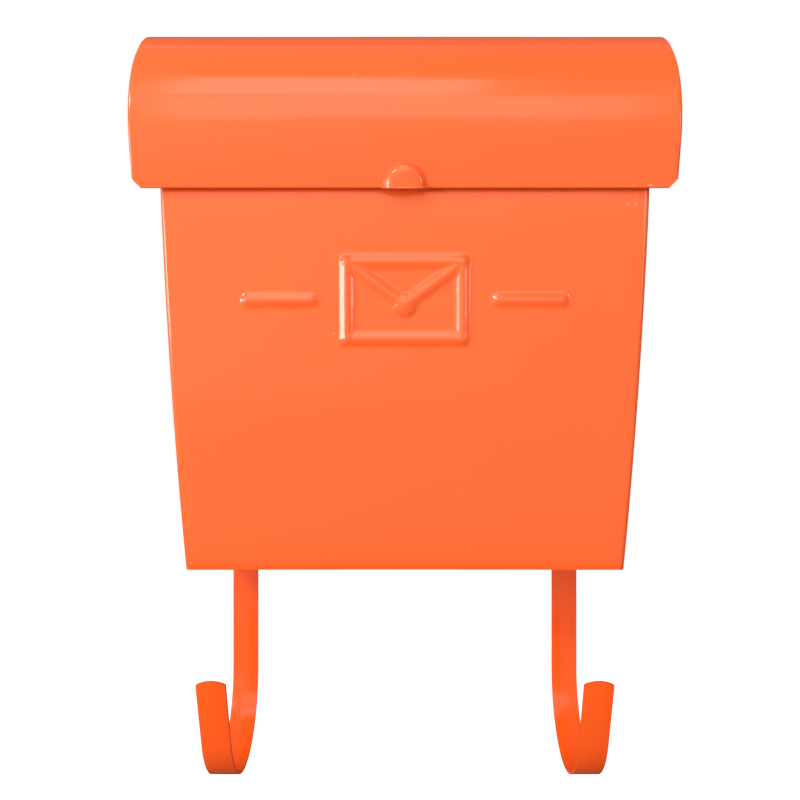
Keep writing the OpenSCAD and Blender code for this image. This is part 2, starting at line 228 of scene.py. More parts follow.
# %% Curves of the box
side_lean = math.atan((top_w - base_w) / (2 * box_h))
upright_h = 6 * mm
bow_top = front_h - hem_depth - upright_h
bow_drop = mouth_d - base_d
bow_r = (bow_top ** 2 + bow_drop ** 2) / (2 * bow_drop)
crown = 25 * mm


def half_width(height):
    return (base_w + (top_w - base_w) * height / box_h) / 2


def front_depth(x, height):
    """Depth of the front's outer face, level at the mouth and bowed back below it."""
    inset = (base_w / 2 - math.hypot(x, crown)) * math.sin(side_lean)
    below = bow_top / math.cos(side_lean) - height * math.cos(side_lean) + inset
    if below <= 0:
        return mouth_d
    return mouth_d - bow_r + math.sqrt(bow_r ** 2 - below ** 2)


print("front depth at the bottom:", round(front_depth(0, 0) / mm, 2), "mm")

# %% [markdown]
# ## The pressed design
# The front carries a plain envelope, a round seal and a line on each side, pressed out
# from behind. The design is drawn first, as straight lines about its own middle.

# %% Lines of the design
env_w, env_h, flap_h, env_mid = 62 * mm, 41 * mm, 23 * mm, 148 * mm
side_gap, side_line = 19 * mm, 34 * mm
line_half = 4.6 * mm


def design_lines():
    """The straight pressed lines as pairs of end points, and the place of the seal."""
    x, z = env_w / 2, env_h / 2
    tip = (0, z - flap_h)
    corners = [(-x, -z), (x, -z), (x, z), (-x, z)]
    lines = [(corners[i], corners[(i + 1) % 4]) for i in range(4)]
    lines += [((x, z), tip), ((-x, z), tip)]
    for s in (-1, 1):
        lines.append(((s * (x + side_gap), 0), (s * (x + side_gap + side_line), 0)))
    return lines, tip


def distance_to(point, line):
    """Distance from the point to the nearest point of the line."""
    (ax, az), (bx, bz) = line
    dx, dz = bx - ax, bz - az
    along = ((point[0] - ax) * dx + (point[1] - az) * dz) / (dx * dx + dz * dz)
    along = min(1, max(0, along))
    return math.hypot(point[0] - ax - along * dx, point[1] - az - along * dz)


pressed_lines, seal_at = design_lines()
design_reach = env_w / 2 + side_gap + side_line + line_half
print("pressed design is", round(2 * design_reach / mm), "mm wide")

# %% [markdown]
# ## How high the press lifts the sheet
# A press leaves each line with a round top, straight flanks and a soft foot, so its height
# is worked out from the distance to the line's middle. The seal is a cap cut from a ball.
# Where two lines meet, their heights are blended instead of added, as the sheet can only be
# pushed out once. A bump in the paint's material would be easier, but it would look flat
# when seen from the side.

# %% Heights of the pressed design
line_out, flank_slope, ridge_r = 1.9 * mm, 0.56, 1.1 * mm
seal_out, seal_half, ball_share = 2.5 * mm, 6.8 * mm, 0.98
foot_soft = 0.35 * mm
blend_power = 5


def soft_max(a, b, softness):
    """The larger of two values, rounded where they cross."""
    return (a + b + math.sqrt((a - b) ** 2 + softness ** 2)) / 2


def with_foot(height, out):
    """The height with a soft foot, without what the softness adds to the flat sheet."""
    return max(soft_max(height, 0, foot_soft) - foot_soft ** 2 / (4 * out), 0)


def line_height(distance):
    flank = line_out + flank_slope * (ridge_r - math.sqrt(distance ** 2 + ridge_r ** 2))
    return with_foot(flank, line_out)


def seal_height(distance):
    ball = (seal_half ** 2 + seal_out ** 2) / (2 * seal_out)
    if distance >= ball_share * ball:
        return with_foot(-seal_out, seal_out)
    cap = math.sqrt(ball ** 2 - distance ** 2) - (ball - seal_out)
    return with_foot(cap, seal_out)


def pressed_height(x, height):
    point = (x, height - env_mid)
    heights = [line_height(distance_to(point, line)) for line in pressed_lines]
    heights.append(seal_height(math.dist(point, seal_at)))
    return sum(h ** blend_power for h in heights) ** (1 / blend_power)


print("a line stands out", round(line_height(0) / mm, 2), "mm, the seal",
      round(seal_height(0) / mm, 2), "mm")

# %% [markdown]
# ## The folded wrap
# Front and sides are one sheet. It runs from a flange at the back, round a fold, along one
# side, round the front fold, across the front, and back the same way. The lines of the
# blank lie close together only where the design is pressed, which saves faces elsewhere.

# %% Lines of the wrap's blank
fine, spare_lines, spare_h = 0.68 * mm, 2, 2 * mm
flange_steps, fold_steps, side_steps, edge_steps = 2, 6, 12, 5
low_steps, high_steps, gable_steps = 20, 7, 14
gable_d = mouth_d - fold_r - sheet_t
gable_share = (gable_d - sheet_t - fold_r) / (mouth_d - sheet_t - 2 * fold_r)


def wrap_columns():
    """The part, the value on it and the side of each line that runs up the blank."""
    reach = round(design_reach / fine + spare_lines) * fine
    half = [("flange", t) for t in steps(0, 1, flange_steps)[:-1]]
    half += [("back fold", t) for t in steps(0, 1, fold_steps)]
    half += [("side", t) for t in steps(0, gable_share, side_steps)[1:]]
    half += [("front fold", t) for t in steps(0, 1, fold_steps)]
    half += [("edge", t) for t in steps(0, 1, edge_steps)[1:-1]]
    middle = [("front", x) for x in steps(-reach, reach, round(2 * reach / fine))]
    left = [(part, value, -1) for part, value in half]
    right = [(part, value, 1) for part, value in reversed(half)]
    return left + [(part, value, 1) for part, value in middle] + right, reach


def wrap_rows():
    """Heights of the lines across the blank, up to the mouth."""
    low = env_mid - env_h / 2 - line_half - spare_h
    high = env_mid + env_h / 2 + line_half + spare_h
    heights = steps(0, low, low_steps)
    heights += steps(low, high, round((high - low) / fine))[1:]
    heights += steps(high, front_h, high_steps)[1:]
    return heights


wrap_lines, design_edge = wrap_columns()
front_rows = wrap_rows()
gable_rows = steps(0, 1, gable_steps)[1:]
wrap_row_count = len(front_rows) + len(gable_rows)
print("blank of", len(wrap_lines), "by", wrap_row_count, "lines")

# %% [markdown]
# ## Fold the blank
# One function says where each line of the blank lies at a given height. The sides go on
# above the mouth as gables, whose rounded tops close the space under the lid. The grid is
# carried there as a whole, and then its faces above the open front are taken out.

# %% Section of the wrap
seat_gap = 0.4 * mm
gable_r = lid_r - sheet_t - seat_gap
gable_top = box_h - sheet_t - seat_gap
notch_d, notch_h = 10.4 * mm, 292.9 * mm


def gable_height(depth):
    """Top edge of the gable: a notch at the hinge, then level, then round as the lid."""
    if depth < notch_d:
        return notch_h + (gable_top - notch_h) * max(depth, 0) / notch_d
    if depth <= roll_d:
        return gable_top
    return roll_h + math.sqrt(max(gable_r ** 2 - (depth - roll_d) ** 2, 0))


def wrap_section(part, value, side, height):
    """Distance from the middle and depth of one line of the blank at one height."""
    half = half_width(height)
    at_edge = half - fold_r
    depth = front_depth(at_edge, height)
    back = sheet_t + fold_r
    turn = value * math.pi / 2
    if part == "flange":
        return side * (half - flange_w + (flange_w - fold_r) * value), sheet_t
    if part == "back fold":
        return side * (at_edge + fold_r * math.sin(turn)), back - fold_r * math.cos(turn)
    if part == "side":
        return side * half, back + (depth - fold_r - back) * value
    if part == "front fold":
        return (side * (at_edge + fold_r * math.cos(turn)),
                depth - fold_r + fold_r * math.sin(turn))
    x = value
    if part == "edge":
        x = side * (at_edge + (design_edge - at_edge) * value)
    return x, front_depth(x, height)


print("gables reach", round(gable_top / mm, 1), "mm above the box's bottom edge")


# %% Fold the wrap
def wrap_point(i, j):
    """Where the crossing of column i and row j lies, with the pressed design on the front."""
    part, value, side = wrap_lines[i]
    if j < len(front_rows):
        height = front_rows[j]
        x, depth = wrap_section(part, value, side, height)
        if part == "front":
            depth += pressed_height(x, height)
        return place(x, depth, height)
    share = gable_rows[j - len(front_rows)]
    top = gable_height(wrap_section(part, value, side, box_h)[1])
    height = front_h + (top - front_h) * share
    x, depth = wrap_section(part, value, side, height)
    return place(x, depth, height)


box_wrap = blank("box_wrap", len(wrap_lines), wrap_row_count)
carry(box_wrap, len(wrap_lines), wrap_row_count, wrap_point)
facts(box_wrap)

# %% Open the front above the mouth
mouth_z = front_h + bottom_z
edit(box_wrap)
bpy.ops.mesh.select_mode(type="FACE")
bm = bmesh.from_edit_mesh(box_wrap.data)
for face in bm.faces:
    middle = face.calc_center_median()
    face.select = middle.z > mouth_z and middle.y < -gable_d
bmesh.update_edit_mesh(box_wrap.data)
bpy.ops.mesh.delete(type="FACE")
bpy.ops.object.mode_set(mode="OBJECT")
facts(box_wrap)

# %% [markdown]
# ## The hem at the mouth
# A cut edge would be sharp on the fingers, so the front's top edge is turned over and
# pressed flat inside. In edit mode the edge is extruded a few times round a small half
# circle and then straight down. After that the sheet gets its thickness.

# %% Hem of the mouth
hem_turns, hem_clear, near = 5, 0.4 * mm, 0.01 * mm
wrap_edge_width = 0.22 * mm


def turn_hem(out, down, radius, length):
    """Extrudes the selected edge round a half circle, away from out, and back along down."""
    last = Vector((0, 0, 0))
    for k in range(1, hem_turns + 1):
        turn = math.pi * k / hem_turns
        point = down * radius * -math.sin(turn) + out * radius * (math.cos(turn) - 1)
        bpy.ops.mesh.extrude_region_move(TRANSFORM_OT_translate={"value": point - last})
        last = point
    bpy.ops.mesh.extrude_region_move(TRANSFORM_OT_translate={"value": down * length})


edit(box_wrap)
mouth_end = half_width(front_h) - fold_r - hem_clear
found = select_edges(box_wrap, lambda co: abs(co.z - mouth_z) < near
                     and abs(co.x) < mouth_end and co.y < -gable_d)
turn_hem(Vector((0, -1, 0)), Vector((0, 0, -1)), sheet_t, hem_depth)
bpy.ops.object.mode_set(mode="OBJECT")
print("hem turned over", found, "edges")

thicken(box_wrap, wrap_edge_width)
smooth(box_wrap)
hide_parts("body_wrap")
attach(box_wrap, "box")
facts(box_wrap)

# %% [markdown]
# ## The rolled lid
# The lid is one sheet too: flat at the back, rolled over in a wide arc, and straight again
# in a short skirt that leans in. The blank's lines run along this path. They lie closest at
# the middle of the skirt's lower edge, where a scoop for a fingertip is pressed out.

# %% Lines of the lid's blank
lid_over, end_fold_r = 8.5 * mm, 1.5 * mm
lid_w = top_w + 2 * (lid_over + sheet_t)
shell_w = lid_w - 2 * end_fold_r
roof_back = 4.5 * mm
corner_w, corner_gap = 5.3 * mm, 0.05 * mm
hem_end, hem_up = lid_w / 2 - corner_w, 6 * mm
clip_from = hem_end + corner_gap
scoop_reach, scoop_fine = 12.8 * mm, 0.4 * mm
skirt_plain = 7 * mm
roof_steps, roll_steps, skirt_steps, scoop_steps = 8, 42, 3, 38
lid_hem_steps, corner_steps = 16, 4


def lid_columns():
    """Distance from the middle of each line that runs along the roll."""
    fine_part = steps(-scoop_reach, scoop_reach, round(2 * scoop_reach / scoop_fine))
    side = steps(scoop_reach, hem_end, lid_hem_steps)[1:] + [clip_from]
    side += steps(clip_from, shell_w / 2, corner_steps)[1:]
    return [-x for x in reversed(side)] + fine_part + side


def lid_rows():
    """Each line across the blank, as a part of the path and a value on it."""
    path = [("roof", t) for t in steps(roof_back, roll_d, roof_steps)]
    path += [("roll", t) for t in steps(math.pi / 2, -skirt_lean, roll_steps)[1:]]
    path += [("skirt", t) for t in steps(0, skirt_plain, skirt_steps)[1:]]
    path += [("skirt", t) for t in steps(skirt_plain, skirt_l, scoop_steps)[1:]]
    return path


lid_lines = lid_columns()
lid_path = lid_rows()
print("lid blank of", len(lid_lines), "by", len(lid_path), "lines")

# %% [markdown]
# ## The finger scoop
# The scoop is a low dome, flat on top and steep at its rim, with a thin lip along the lower
# edge. It could be a piece of its own set on the lid, but the real one is pressed out of the
# sheet, so it is a height here too, which bends the same surface and keeps its thickness.

# %% Heights of the scoop
scoop_r, scoop_out = 11.4 * mm, 4.4 * mm
scoop_soft, scoop_rise = 0.8 * mm, 1.2 * mm
scoop_power, scoop_shoulder, scoop_fall = 4.5, 0.6, 1.6
lip_out, lip_up = 0.35 * mm, 0.7 * mm
wave_out, wave_w, wave_drift = 0.12 * mm, 31 * mm, 1.3


def scoop_height(x, up):
    """Height of the finger scoop above the skirt, this far above the skirt's lower edge."""
    distance = math.hypot(x, max(0, up - scoop_rise))
    if distance >= scoop_reach:
        return 0
    flat = scoop_out * max(0, 1 - (distance / scoop_r) ** scoop_power) ** scoop_shoulder
    fall = scoop_out * scoop_fall * max(0, distance / scoop_r - 1)
    lip = lip_out * math.exp(-(up / lip_up) ** 2) * max(0, 1 - (x / scoop_r) ** 2)
    return max(0, soft_max(flat - fall, 0, scoop_soft) - scoop_soft / 2) + lip


def sway(x, turn):
    """Rolled sheet is never quite true: a slow wave, too small to see but in its gloss."""
    wave = math.sin(x / wave_w + wave_drift * math.sin(2 * turn))
    return wave_out * wave * math.cos(turn)


print("the scoop stands out", round(scoop_height(0, 0) / mm, 2), "mm at the lid's edge")

# %% [markdown]
# ## Roll the lid
# On both sides of the scoop the skirt's lower edge is turned up inside as a hem. The sheet
# reaches one thickness lower at the scoop and the lid's ends, level with the hem's fold, and
# the lid's lower corners are clipped so that nothing sharp sticks out.

# %% Roll the lid
skirt_out = Vector((0, -math.cos(skirt_lean), -math.sin(skirt_lean)))
skirt_down = Vector((0, math.sin(skirt_lean), -math.cos(skirt_lean)))
near_edge, lid_edge_width = 0.1 * mm, 0.2 * mm


def lid_point(i, j):
    x = lid_lines[i]
    part, value = lid_path[j]
    if part == "roof":
        return place(x, value, box_h)
    if part == "roll":
        reach = lid_r + sway(x, value)
        return place(x, roll_d + reach * math.cos(value), roll_h + reach * math.sin(value))
    clip = 0
    if abs(x) > hem_end + near:
        clip = abs(x) - hem_end - sheet_t
    elif abs(x) < scoop_reach - near:
        clip = -sheet_t
    along = value * (1 - clip / skirt_l)
    start = place(x, roll_d, roll_h) + skirt_out * (lid_r + sway(x, -skirt_lean))
    return start + skirt_down * along + skirt_out * scoop_height(x, skirt_l - value)


rolled_lid = blank("rolled_lid", len(lid_lines), len(lid_path))
carry(rolled_lid, len(lid_lines), len(lid_path), lid_point)
skirt_edge = place(0, roll_d, roll_h) + skirt_out * lid_r + skirt_down * skirt_l

edit(rolled_lid)
for s in (-1, 1):
    found = select_edges(rolled_lid, lambda co: abs(co.z - skirt_edge.z) < near_edge
                         and scoop_reach - near_edge < s * co.x < hem_end + near_edge)
    turn_hem(skirt_out, -skirt_down, sheet_t, hem_up)
    print("lid hem turned over", found, "edges")
bpy.ops.mesh.select_all(action="SELECT")
bpy.ops.mesh.flip_normals()
bpy.ops.object.mode_set(mode="OBJECT")
thicken(rolled_lid, lid_edge_width)
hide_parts("lid_shell")
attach(rolled_lid, "lid")
facts(rolled_lid)

# %% [markdown]
# ## Holes for the hinge rivets
# The hinge leaves are riveted through the lid's flat part, and the rivets end flush with
# its outer face. Four short cylinders stand in for the drill, and a boolean modifier takes
# each of them out of the sheet. Without the holes the rivets' ends and the sheet would lie
# in one plane, and the renderer couldn't tell which of them is in front.

# %% Drill the lid
hinge_x, rivet_dx, hole_r = 75 * mm, 24 * mm, 1.6 * mm
drill_sides, drill_l = 32, 6 * mm
rivet_low, rivet_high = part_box("hinge_lid_rivets")
rivet_y = (rivet_low[1] + rivet_high[1]) / 2
drills = []
for x in [side * hinge_x + end * rivet_dx / 2 for side in (-1, 1) for end in (-1, 1)]:
    deselect_all()
    bpy.ops.mesh.primitive_cylinder_add(vertices=drill_sides, radius=hole_r, depth=drill_l,
                                        location=(x, rivet_y, box_h + bottom_z))
    drills.append(bpy.context.object)
    hole = rolled_lid.modifiers.new("rivet_hole", "BOOLEAN")
    hole.operation = "DIFFERENCE"
    hole.object = drills[-1]
apply_all(rolled_lid)
deselect_all()
for drill in drills:
    drill.select_set(True)
bpy.ops.object.delete()
smooth(rolled_lid)
print("drilled", len(drills), "holes")
facts(rolled_lid)

# %% [markdown]
# ## The lid's end plates
# A D-shaped plate closes each end of the lid. Its rim is turned in round a small fold, and
# its flange lies under the rolled sheet. The blank's columns run along the rim, and its
# rows go over the flange, round the fold and down the flat to the plate's plain lower edge.

# %% Lines of an end plate's blank
end_gap, end_flange = 0.15 * mm, 3.6 * mm
end_r = lid_r - sheet_t - end_gap
end_clip, end_rise = 3.5 * mm, 55 * mm
rim_roll_steps, rim_skirt_steps, plate_steps = 48, 6, 8
rim_path = [("roof", t) for t in steps(roof_back, roll_d, roof_steps)]
rim_path += [("roll", t) for t in steps(math.pi / 2, -skirt_lean, rim_roll_steps)[1:]]
rim_path += [("skirt", t) for t in steps(0, skirt_l - end_clip, rim_skirt_steps)[1:]]
end_rows = [("flange", t) for t in steps(0, 1, flange_steps)[:-1]]
end_rows += [("fold", t) for t in steps(0, 1, fold_steps)]
end_rows += [("flat", t) for t in steps(0, 1, plate_steps)[1:]]


def rim_point(part, value, reach):
    """Place on the rim, at this distance from the roll's middle line."""
    if part == "roof":
        return Vector((value, roll_h + reach))
    if part == "roll":
        return Vector((roll_d + reach * math.cos(value), roll_h + reach * math.sin(value)))
    out = Vector((math.cos(skirt_lean), -math.sin(skirt_lean)))
    down = Vector((-math.sin(skirt_lean), -math.cos(skirt_lean)))
    return Vector((roll_d, roll_h)) + out * reach + down * value


def end_point(i, j, side):
    part, value = rim_path[i]
    row, share = end_rows[j]
    turn = share * math.pi / 2
    x, fold_in = lid_w / 2 - end_fold_r, 0
    if row == "flange":
        x -= end_flange * (1 - share)
    elif row == "fold":
        x += end_fold_r * math.sin(turn)
        fold_in = end_fold_r * (1 - math.cos(turn))
    else:
        x += end_fold_r
        fold_in = end_fold_r
    spot = rim_point(part, value, end_r - fold_in)
    if row == "flat":
        front = rim_point(*rim_path[-1], end_r - end_fold_r)
        low = front.lerp(Vector((roof_back, front.y + end_rise)), 1 - i / (len(rim_path) - 1))
        spot = spot.lerp(low, share)
    return place(side * x, *spot)


print("end plate blank of", len(rim_path), "by", len(end_rows), "lines")

# %% [markdown]
# ## Make both plates
# The two plates are mirror images. The left one's blank is turned inside out by the mirror,
# so its faces are flipped back before the sheet gets its thickness. At the plate's front
# corner its rows meet in one point, and the doubled points there are merged.

# %% End plates
weld = 0.001 * mm
end_plates = []
for side, node_name in ((-1, "lid_end_left"), (1, "lid_end_right")):
    end_plate = blank(node_name.replace("lid_end", "end_plate"), len(rim_path), len(end_rows))
    carry(end_plate, len(rim_path), len(end_rows), lambda i, j: end_point(i, j, side))
    edit(end_plate)
    bpy.ops.mesh.select_all(action="SELECT")
    bpy.ops.mesh.remove_doubles(threshold=weld)
    if side < 0:
        bpy.ops.mesh.flip_normals()
    bpy.ops.object.mode_set(mode="OBJECT")
    thicken(end_plate, lid_edge_width)
    smooth(end_plate)
    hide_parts(node_name)
    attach(end_plate, "lid")
    end_plates.append(end_plate)
    facts(end_plate)

# %% [markdown]
# ## The hooks
# Each hook is a strip of flat bar. It is modelled as the smith makes it: the bar's end is
# drawn down, bent round with the spin operator, and drawn up into the leaning front leg,
# whose tip is cut round. A bevel then takes the sharpness off all edges, as on rolled bar.

# %% Bend a hook
bar_w, bar_t, hook_r, hook_drop = 16 * mm, 2 * mm, 44 * mm, 80 * mm
hook_lean, leg_l, bar_up = math.radians(20), 42 * mm, 58 * mm
hook_gap = 0.5 * mm
hook_x = base_w / 2 - flange_w - hook_gap - bar_w / 2
bend_d, bend_steps = sheet_t + bar_t + hook_r, 40
tip_r, tip_steps, tip_end = 15.6 * mm, 7, 0.08 * bar_w
bar_weld = 0.0001 * mm


def round_tip(rise, sag, x):
    """Draws the selected end face up in short steps, each narrower, to a round outline."""
    width, height = bar_w / 2, 0
    for k in range(1, tip_steps + 1):
        left = (1 - k / tip_steps) ** 2 * sag
        narrow = math.sqrt(tip_r ** 2 - (tip_r - left) ** 2) if left else tip_end
        bpy.ops.mesh.extrude_region_move(
            TRANSFORM_OT_translate={"value": rise * (sag - left - height)})
        bpy.ops.transform.resize(value=(narrow / width, 1, 1), center_override=(x, 0, 0))
        width, height = narrow, sag - left


def bend_hook(name, x):
    """Draws one hook from a small face at its top, down, round and up to its tip."""
    deselect_all()
    top = place(x, sheet_t + bar_t / 2, bar_up)
    bpy.ops.mesh.primitive_plane_add(size=1, location=top)
    piece = bpy.context.object
    piece.name = piece.data.name = name
    piece.scale = (bar_w, bar_t, 1)
    bpy.ops.object.transform_apply(location=True, rotation=True, scale=True)
    bpy.ops.object.mode_set(mode="EDIT")
    bpy.ops.mesh.select_all(action="SELECT")
    bpy.ops.mesh.extrude_region_move(
        TRANSFORM_OT_translate={"value": (0, 0, -bar_up - hook_drop)})
    bpy.ops.mesh.spin(steps=bend_steps, angle=math.pi - hook_lean, axis=(1, 0, 0),
                      center=place(x, bend_d, -hook_drop))
    rise = Vector((0, -math.sin(hook_lean), math.cos(hook_lean)))
    sag = tip_r - math.sqrt(tip_r ** 2 - bar_w ** 2 / 4)
    bpy.ops.mesh.extrude_region_move(TRANSFORM_OT_translate={"value": rise * (leg_l - sag)})
    round_tip(rise, sag, x)
    bpy.ops.mesh.select_all(action="SELECT")
    bpy.ops.mesh.remove_doubles(threshold=bar_weld)
    bpy.ops.mesh.normals_make_consistent(inside=False)
    bpy.ops.object.mode_set(mode="OBJECT")
    return piece


hooks = [bend_hook("left_hook", -hook_x), bend_hook("right_hook", hook_x)]
print("bent", [hook.name for hook in hooks])

# %% Finish the hooks
bar_edge_width = 0.65 * mm
for piece, node_name in zip(hooks, ("hook_left", "hook_right")):
    soften(piece, bar_edge_width, segments=4, degrees=40)
    apply_all(piece)
    smooth(piece)
    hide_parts(node_name)
    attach(piece, "box")
    facts(piece)

# %% [markdown]
# ## Helpers for nodes
# A material is a tree of nodes and links. Made one line at a time, a tree of twenty nodes is
# long and hard to read, so a few helpers make the kinds that come up again and again. Most
# of them give back an output, which can be handed straight on to the next one.


# %% Node helpers
def node(tree, kind, **values):
    made = tree.nodes.new(kind)
    for key, value in values.items():
        setattr(made, key, value)
    return made


def feed(tree, socket, value):
    """Links an output to the socket, or writes a plain number into it."""
    if isinstance(value, bpy.types.NodeSocket):
        tree.links.new(value, socket)
    else:
        socket.default_value = value


def maths(tree, operation, *values, clamp=False):
    """A Math node that works on outputs or plain numbers."""
    made = node(tree, "ShaderNodeMath", operation=operation, use_clamp=clamp)
    for socket, value in zip(made.inputs, values):
        feed(tree, socket, value)
    return made.outputs[0]


def ramp(tree, value, start, end, low, high, kind="SMOOTHSTEP"):
    """Goes from low to high while the value goes from start to end."""
    made = node(tree, "ShaderNodeMapRange", interpolation_type=kind)
    feed(tree, made.inputs["Value"], value)
    feed(tree, made.inputs["From Min"], start)
    feed(tree, made.inputs["From Max"], end)
    feed(tree, made.inputs["To Min"], low)
    feed(tree, made.inputs["To Max"], high)
    return made.outputs["Result"]


def coloured(tree, mask, first, second):
    """The first colour, and the second one where the mask is set."""
    mixed = node(tree, "ShaderNodeMix", data_type="RGBA")
    feed(tree, mixed.inputs[0], mask)
    feed(tree, mixed.inputs[6], first)
    feed(tree, mixed.inputs[7], second)
    return mixed.outputs[2]


def object_place(tree):
    """The place on the piece itself, which stays the same when the lid opens."""
    return node(tree, "ShaderNodeTexCoord").outputs["Object"]


def noise(tree, scale):
    made = node(tree, "ShaderNodeTexNoise")
    feed(tree, made.inputs["Vector"], object_place(tree))
    feed(tree, made.inputs["Scale"], scale)
    return made.outputs["Fac"]


print("node helpers ready")

# %% [markdown]
# ## The powder coat's film
# The paint is a powder that melts into one thick, satin film. Its gloss is a little broken
# by fine orange peel, and its colour drifts slightly with the coat's thickness. Each of
# these is a node group with its own named values, so that every material below can use it
# at its own scale. A flat colour would be simpler, and would look like plastic.

# %% Orange peel and coat tone
slow_scale = 18


def new_group(name, inputs, outputs):
    """An empty node group with named inputs and outputs."""
    group = bpy.data.node_groups.new(name, "ShaderNodeTree")
    for label, kind, value in inputs:
        socket = group.interface.new_socket(label, in_out="INPUT", socket_type=kind)
        socket.default_value = value
    for label, kind in outputs:
        group.interface.new_socket(label, in_out="OUTPUT", socket_type=kind)
    start = group.nodes.new("NodeGroupInput")
    end = group.nodes.new("NodeGroupOutput")
    return group, start, end


def orange_peel_group():
    """Fine ripples as a height, and a roughness that drifts slowly over the sheet."""
    group, start, end = new_group(
        "orange_peel",
        [("Size", "NodeSocketFloat", 600.0), ("Roughness", "NodeSocketFloat", 0.3),
         ("Spread", "NodeSocketFloat", 0.05)],
        [("Height", "NodeSocketFloat"), ("Roughness", "NodeSocketFloat")])
    feed(group, end.inputs["Height"], noise(group, start.outputs["Size"]))
    centred = maths(group, "SUBTRACT", noise(group, slow_scale), 0.5)
    spread = maths(group, "MULTIPLY_ADD", centred, start.outputs["Spread"],
                   start.outputs["Roughness"])
    feed(group, end.inputs["Roughness"], spread)
    return group


def tone_group():
    """Slow drift of the colour, from a thinner to a thicker coat."""
    group, start, end = new_group(
        "coat_tone",
        [("Scale", "NodeSocketFloat", 9.0), ("Thin", "NodeSocketColor", (1, 1, 1, 1)),
         ("Thick", "NodeSocketColor", (1, 1, 1, 1))],
        [("Color", "NodeSocketColor")])
    drift = noise(group, start.outputs["Scale"])
    mixed = coloured(group, drift, start.outputs["Thin"], start.outputs["Thick"])
    feed(group, end.inputs["Color"], mixed)
    return group


peel, tone = orange_peel_group(), tone_group()
print("groups:", peel.name, tone.name)

# %% [markdown]
# ## Dust, a pale patch and a painted highlight
# A few grains of dust are baked into the paint as pale dots. A paler patch is painted at the top
# of the right fold, and a painted highlight along the lid's lower edge at the right. All are
# masks.
# The dots come from a cell pattern, of which only some cells get a dot. A patch is noise that
# fades out towards a rounded rim.

# %% Paint specks, pale patch and painted highlight
rim_outer, rim_inner, contrast = 1.0, 0.5, 8.0


def specks_group():
    """Dust that was baked into the paint: a few dots, each in its own cell of a pattern."""
    group, start, end = new_group(
        "paint_specks",
        [("Cells", "NodeSocketFloat", 70.0), ("Dot", "NodeSocketFloat", 0.03),
         ("Share", "NodeSocketFloat", 0.2)],
        [("Mask", "NodeSocketFloat")])
    cells = node(group, "ShaderNodeTexVoronoi")
    feed(group, cells.inputs["Vector"], object_place(group))
    feed(group, cells.inputs["Scale"], start.outputs["Cells"])
    dot = maths(group, "LESS_THAN", cells.outputs["Distance"], start.outputs["Dot"])
    pick = node(group, "ShaderNodeSeparateColor")
    feed(group, pick.inputs[0], cells.outputs["Color"])
    chosen = maths(group, "LESS_THAN", pick.outputs[0], start.outputs["Share"])
    feed(group, end.inputs["Mask"], maths(group, "MULTIPLY", dot, chosen))
    return group


def patch_and_highlight_group():
    """A pale patch, also used as a painted highlight: broken up by noise inside a rounded
    region, and gone at its rim.
    """
    group, start, end = new_group(
        "pale_patch_and_highlight",
        [("Place", "NodeSocketVector", (0, 0, 0)), ("Reach", "NodeSocketVector", (1, 1, 1)),
         ("Grain", "NodeSocketFloat", 500.0), ("Edge", "NodeSocketFloat", 0.45)],
        [("Mask", "NodeSocketFloat")])
    away = node(group, "ShaderNodeVectorMath", operation="SUBTRACT")
    feed(group, away.inputs[0], object_place(group))
    feed(group, away.inputs[1], start.outputs["Place"])
    scaled = node(group, "ShaderNodeVectorMath", operation="DIVIDE")
    feed(group, scaled.inputs[0], away.outputs[0])
    feed(group, scaled.inputs[1], start.outputs["Reach"])
    distance = node(group, "ShaderNodeVectorMath", operation="LENGTH")
    feed(group, distance.inputs[0], scaled.outputs[0])
    fall = ramp(group, distance.outputs["Value"], start=rim_outer, end=rim_inner,
                low=0.0, high=1.0)
    broken = maths(group, "MULTIPLY", noise(group, start.outputs["Grain"]), fall)
    over = maths(group, "SUBTRACT", broken, start.outputs["Edge"])
    feed(group, end.inputs["Mask"], maths(group, "MULTIPLY", over, contrast, clamp=True))
    return group


specks, patch_and_highlight = specks_group(), patch_and_highlight_group()
print("groups:", specks.name, patch_and_highlight.name)

# %% [markdown]
# ## The materials
# One function makes a coat from a colour, and box and hooks get one each: the hooks' coat
# is a little duller, and its colour is darker as painted shade for hooks that hang below the
# box.
# The hinges and rivets are zinc plated, a metal with a fine cloudy bloom. Its roughness and bump
# come from the same group as the paint's, so that all surfaces break the light in a related way.


# %% Coats
def new_material(name):
    material = bpy.data.materials.new(name)
    material.use_nodes = True
    return material, material.node_tree, material.node_tree.nodes["Principled BSDF"]


def use_group(tree, group, **values):
    """Places a node group in a material and gives its inputs these values."""
    made = node(tree, "ShaderNodeGroup", node_tree=group)
    for key, value in values.items():
        made.inputs[key].default_value = value
    return made


def shaded(colour, share):
    return (*[min(1, c * share) for c in colour], 1)


def film_on(tree, shader, film, depth, strength):
    """Gives the shader the film's roughness, and its ripples as a bump of this depth."""
    tree.links.new(film.outputs["Roughness"], shader.inputs["Roughness"])
    bump = node(tree, "ShaderNodeBump")
    bump.inputs["Distance"].default_value = depth
    bump.inputs["Strength"].default_value = strength
    tree.links.new(film.outputs["Height"], bump.inputs["Height"])
    tree.links.new(bump.outputs["Normal"], shader.inputs["Normal"])


